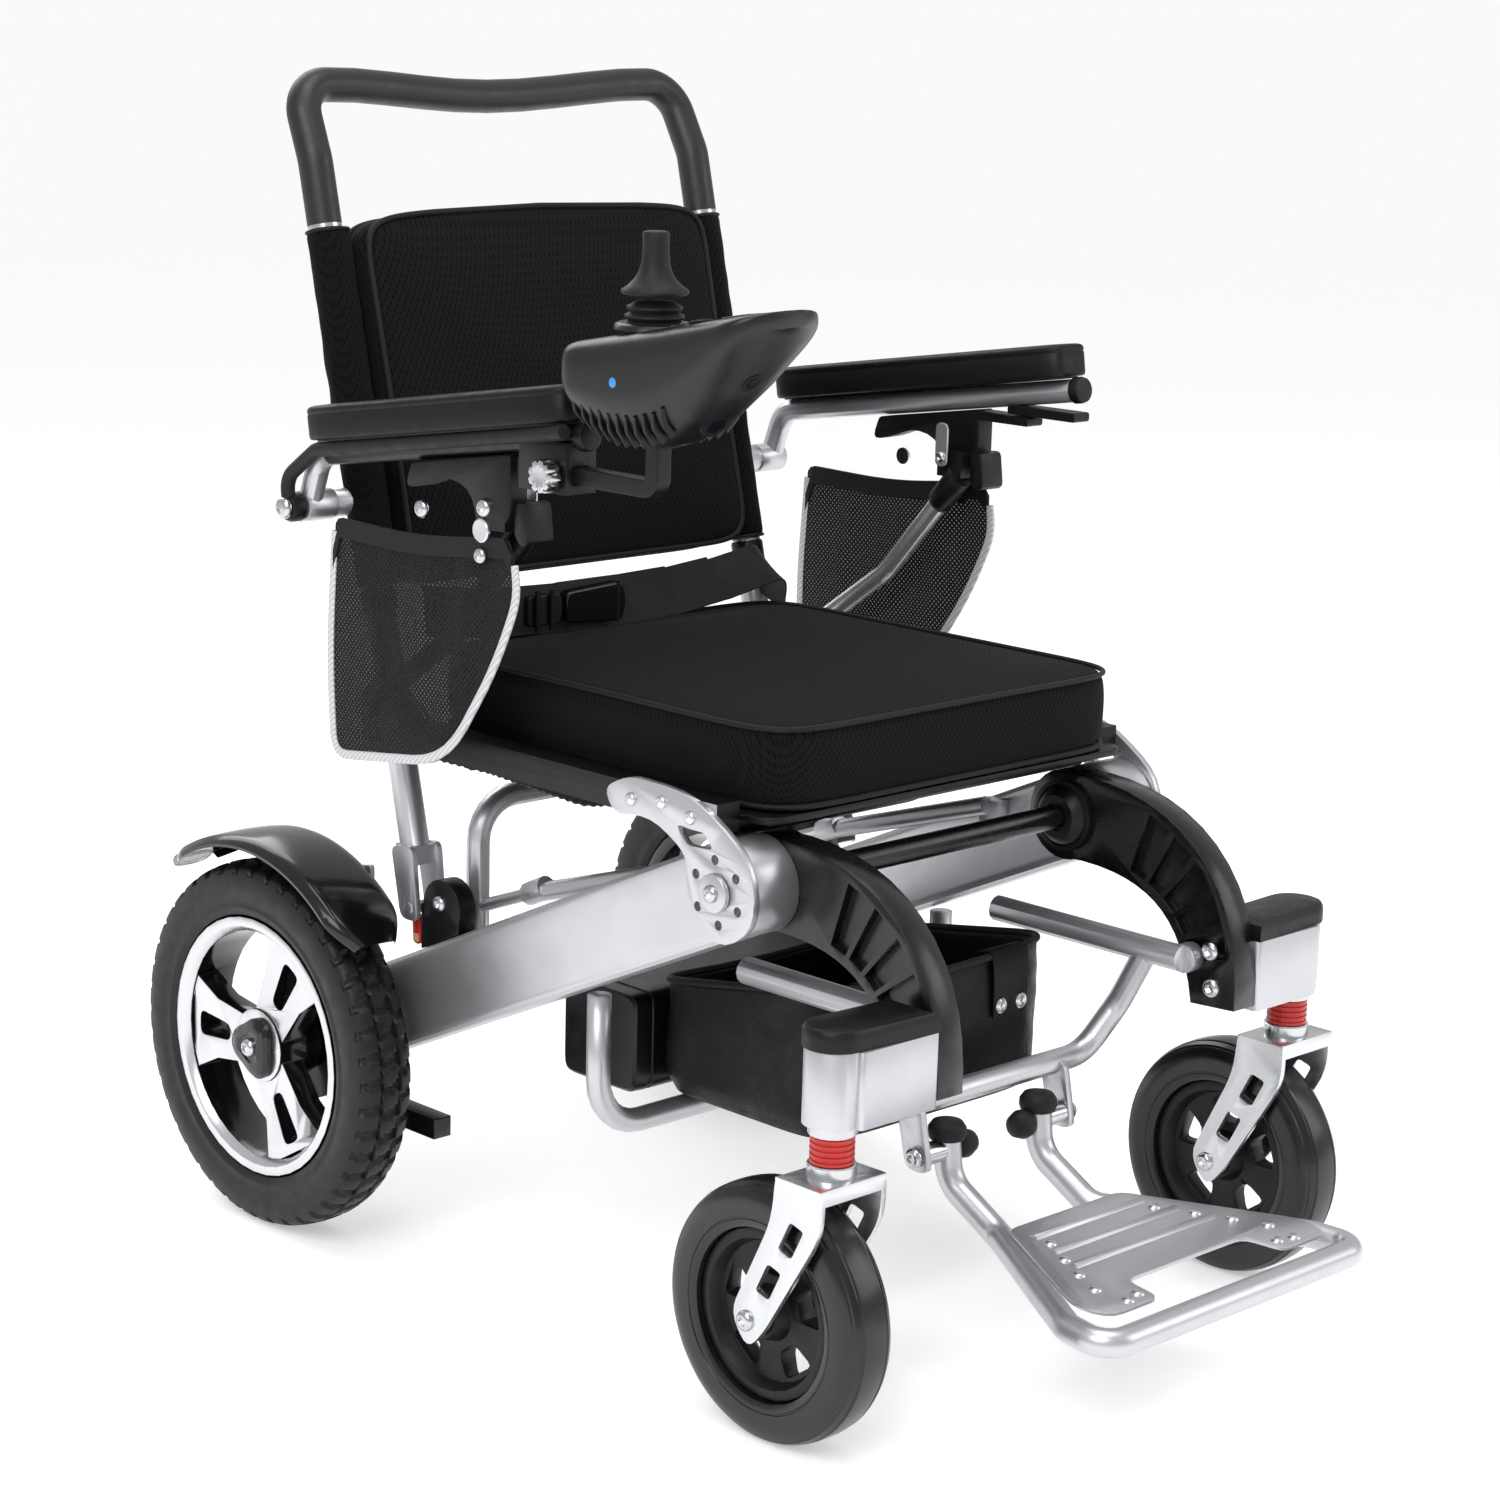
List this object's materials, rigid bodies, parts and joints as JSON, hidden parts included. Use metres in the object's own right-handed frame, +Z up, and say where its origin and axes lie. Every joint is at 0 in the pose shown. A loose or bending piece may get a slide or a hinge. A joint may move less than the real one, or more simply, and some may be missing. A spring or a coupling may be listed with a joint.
{
  "type": "power wheelchair",
  "caption": "Folding electric wheelchair with joystick controller, flip-up armrests, padded seat and back, cast front arms, silver side beams, swivel casters and a flip-up footrest.",
  "frame": {"origin": "floor level, midway between the two sides and midway along the chair's overall length", "axes": "+Z up, the chair faces -Y, +X towards the occupant's left-hand side"},
  "size_m": [0.62, 0.9979, 0.9762],
  "materials": {
    "silver": "satin",
    "cast_black": "satin black paint",
    "black_plastic": "fine grain",
    "gloss_black": "gloss",
    "tyre": "moulded",
    "rubber": "foam",
    "spacer_fabric": "spacer mesh",
    "leatherette": "grained",
    "side_mesh": "open mesh",
    "red_plastic": "gloss"
  },
  "bodies": {
    "seat_frame": {"seat_side_right": "silver", "seat_side_left": "silver", "arm_post_right": "silver", "arm_post_left": "silver", "pivot_shaft": "silver", "seat_pan": "black_plastic", "seat_cushion": "spacer_fabric", "control_box": "black_plastic"},
    "rear_frame": {"side_beam_right": "silver", "side_beam_left": "silver", "rear_hoop": "silver", "fold_catch_right": "black_plastic", "fold_catch_left": "black_plastic", "drive_motor_right": "cast_black", "drive_motor_left": "cast_black", "mudguard_right": "gloss_black", "mudguard_left": "gloss_black", "cradle_tube": "silver", "battery_case": "black_plastic", "storage_bag": "leatherette"},
    "front_frame": {"front_arm_right": "cast_black", "front_arm_left": "cast_black", "stem_block_right": "silver", "stem_block_left": "silver", "bag_rail_frame": "silver"},
    "footrest": {"footrest_tube": "silver", "footrest_plate": "silver"},
    "backrest": {"back_tube_right": "silver", "back_tube_left": "silver", "push_handle": "rubber", "back_cushion": "spacer_fabric"},
    "controller": {"controller_shell": "black_plastic"},
    "stick_gimbal": {"stick_dome": "rubber"},
    "stick": {"stick_knob": "rubber"},
    "power_key": {"power_key": "black_plastic"},
    "horn_key": {"horn_key": "black_plastic"},
    "thumb_knob": {"thumb_knob": "black_plastic"},
    "rear_wheel_right": {"tyre_right": "tyre", "rim_right": "silver"},
    "caster_right": {"caster_fork_right": "silver"},
    "caster_wheel_right": {"caster_tyre_right": "tyre", "caster_rim_right": "black_plastic"},
    "armrest_right": {"arm_tube_right": "silver", "arm_pad_right": "black_plastic", "latch_body_right": "black_plastic", "side_guard_right": "side_mesh", "controller_cable": "rubber"},
    "latch_lever_right": {"latch_lever_right": "black_plastic"},
    "release_lever_right": {"release_lever_right": "red_plastic"},
    "rear_wheel_left": {"tyre_left": "tyre", "rim_left": "silver"},
    "caster_left": {"caster_fork_left": "silver"},
    "caster_wheel_left": {"caster_tyre_left": "tyre", "caster_rim_left": "black_plastic"},
    "armrest_left": {"arm_tube_left": "silver", "arm_pad_left": "black_plastic", "latch_body_left": "black_plastic", "side_guard_left": "side_mesh"},
    "latch_lever_left": {"latch_lever_left": "black_plastic"},
    "release_lever_left": {"release_lever_left": "red_plastic"}
  },
  "joints": [
    {"name": "rear_fold", "type": "hinge", "parent": "seat_frame", "child": "rear_frame", "pos_m": [0, -0.162, 0.39], "axis": [-1, 0, 0], "range_deg": [0, 25], "deforming": ["storage_bag"]},
    {"name": "front_fold", "type": "hinge", "parent": "seat_frame", "child": "front_frame", "pos_m": [0, -0.162, 0.39], "axis": [1, 0, 0], "range_deg": [0, 25]},
    {"name": "backrest_fold", "type": "hinge", "parent": "seat_frame", "child": "backrest", "pos_m": [0, 0.25056, 0.443], "axis": [1, 0, 0], "range_deg": [0, 30]},
    {"name": "footrest_flip", "type": "hinge", "parent": "front_frame", "child": "footrest", "pos_m": [0, -0.238, 0.168], "axis": [-1, 0, 0], "range_deg": [0, 90]},
    {"name": "rear_wheel_spin_right", "type": "hinge", "parent": "rear_frame", "child": "rear_wheel_right", "pos_m": [-0.274, 0.34, 0.159], "axis": [1, 0, 0], "continuous": true},
    {"name": "caster_swivel_right", "type": "hinge", "parent": "front_frame", "child": "caster_right", "pos_m": [-0.2686, -0.32, 0.28], "axis": [0, 0, 1], "continuous": true},
    {"name": "caster_spin_right", "type": "hinge", "parent": "caster_right", "child": "caster_wheel_right", "pos_m": [-0.2686, -0.271, 0.1], "axis": [1, 0, 0], "continuous": true},
    {"name": "armrest_flip_right", "type": "hinge", "parent": "backrest", "child": "armrest_right", "pos_m": [-0.266, 0.30208, 0.627], "axis": [-1, 0, 0], "range_deg": [0, 100]},
    {"name": "latch_lever_press_right", "type": "hinge", "parent": "armrest_right", "child": "latch_lever_right", "pos_m": [-0.259, 0.03208, 0.66], "axis": [-1, 0, 0], "range_deg": [0, 12], "stiffness_Nm_per_rad": 0.8},
    {"name": "release_lever_pull_right", "type": "hinge", "parent": "rear_frame", "child": "release_lever_right", "pos_m": [-0.214, 0.215, 0.2688], "axis": [-1, 0, 0], "range_deg": [0, 30], "stiffness_Nm_per_rad": 0.6},
    {"name": "rear_wheel_spin_left", "type": "hinge", "parent": "rear_frame", "child": "rear_wheel_left", "pos_m": [0.274, 0.34, 0.159], "axis": [1, 0, 0], "continuous": true},
    {"name": "caster_swivel_left", "type": "hinge", "parent": "front_frame", "child": "caster_left", "pos_m": [0.2686, -0.32, 0.28], "axis": [0, 0, 1], "continuous": true},
    {"name": "caster_spin_left", "type": "hinge", "parent": "caster_left", "child": "caster_wheel_left", "pos_m": [0.2686, -0.271, 0.1], "axis": [1, 0, 0], "continuous": true},
    {"name": "armrest_flip_left", "type": "hinge", "parent": "backrest", "child": "armrest_left", "pos_m": [0.266, 0.30208, 0.627], "axis": [-1, 0, 0], "range_deg": [0, 100]},
    {"name": "latch_lever_press_left", "type": "hinge", "parent": "armrest_left", "child": "latch_lever_left", "pos_m": [0.259, 0.03208, 0.66], "axis": [-1, 0, 0], "range_deg": [0, 12], "stiffness_Nm_per_rad": 0.8},
    {"name": "release_lever_pull_left", "type": "hinge", "parent": "rear_frame", "child": "release_lever_left", "pos_m": [0.214, 0.215, 0.2688], "axis": [-1, 0, 0], "range_deg": [0, 30], "stiffness_Nm_per_rad": 0.6},
    {"name": "controller_slide", "type": "slide", "parent": "armrest_right", "child": "controller", "axis": [0, -1, 0], "range_m": [0, 0.03]},
    {"name": "stick_pitch", "type": "hinge", "parent": "controller", "child": "stick_gimbal", "pos_m": [-0.266, -0.11181, 0.805], "axis": [1, 0, 0], "range_deg": [-18, 18], "stiffness_Nm_per_rad": 0.15},
    {"name": "stick_roll", "type": "hinge", "parent": "stick_gimbal", "child": "stick", "pos_m": [-0.266, -0.11181, 0.805], "axis": [0, 1, 0], "range_deg": [-18, 18], "stiffness_Nm_per_rad": 0.15},
    {"name": "power_key_press", "type": "slide", "parent": "controller", "child": "power_key", "axis": [0, -0.1867, -0.9824], "range_m": [0, 0.0015], "stiffness_N_per_m": 400},
    {"name": "horn_key_press", "type": "slide", "parent": "controller", "child": "horn_key", "axis": [0, -0.1867, -0.9824], "range_m": [0, 0.0015], "stiffness_N_per_m": 400},
    {"name": "thumb_knob_turn", "type": "hinge", "parent": "armrest_right", "child": "thumb_knob", "pos_m": [-0.29, -0.01981, 0.69132], "axis": [1, 0, 0], "continuous": true}
  ],
  "couplings": [
    {"joint": "front_fold", "follows": "rear_fold", "ratio": 1},
    {"joint": "backrest_fold", "follows": "rear_fold", "ratio": 1.2}
  ]
}
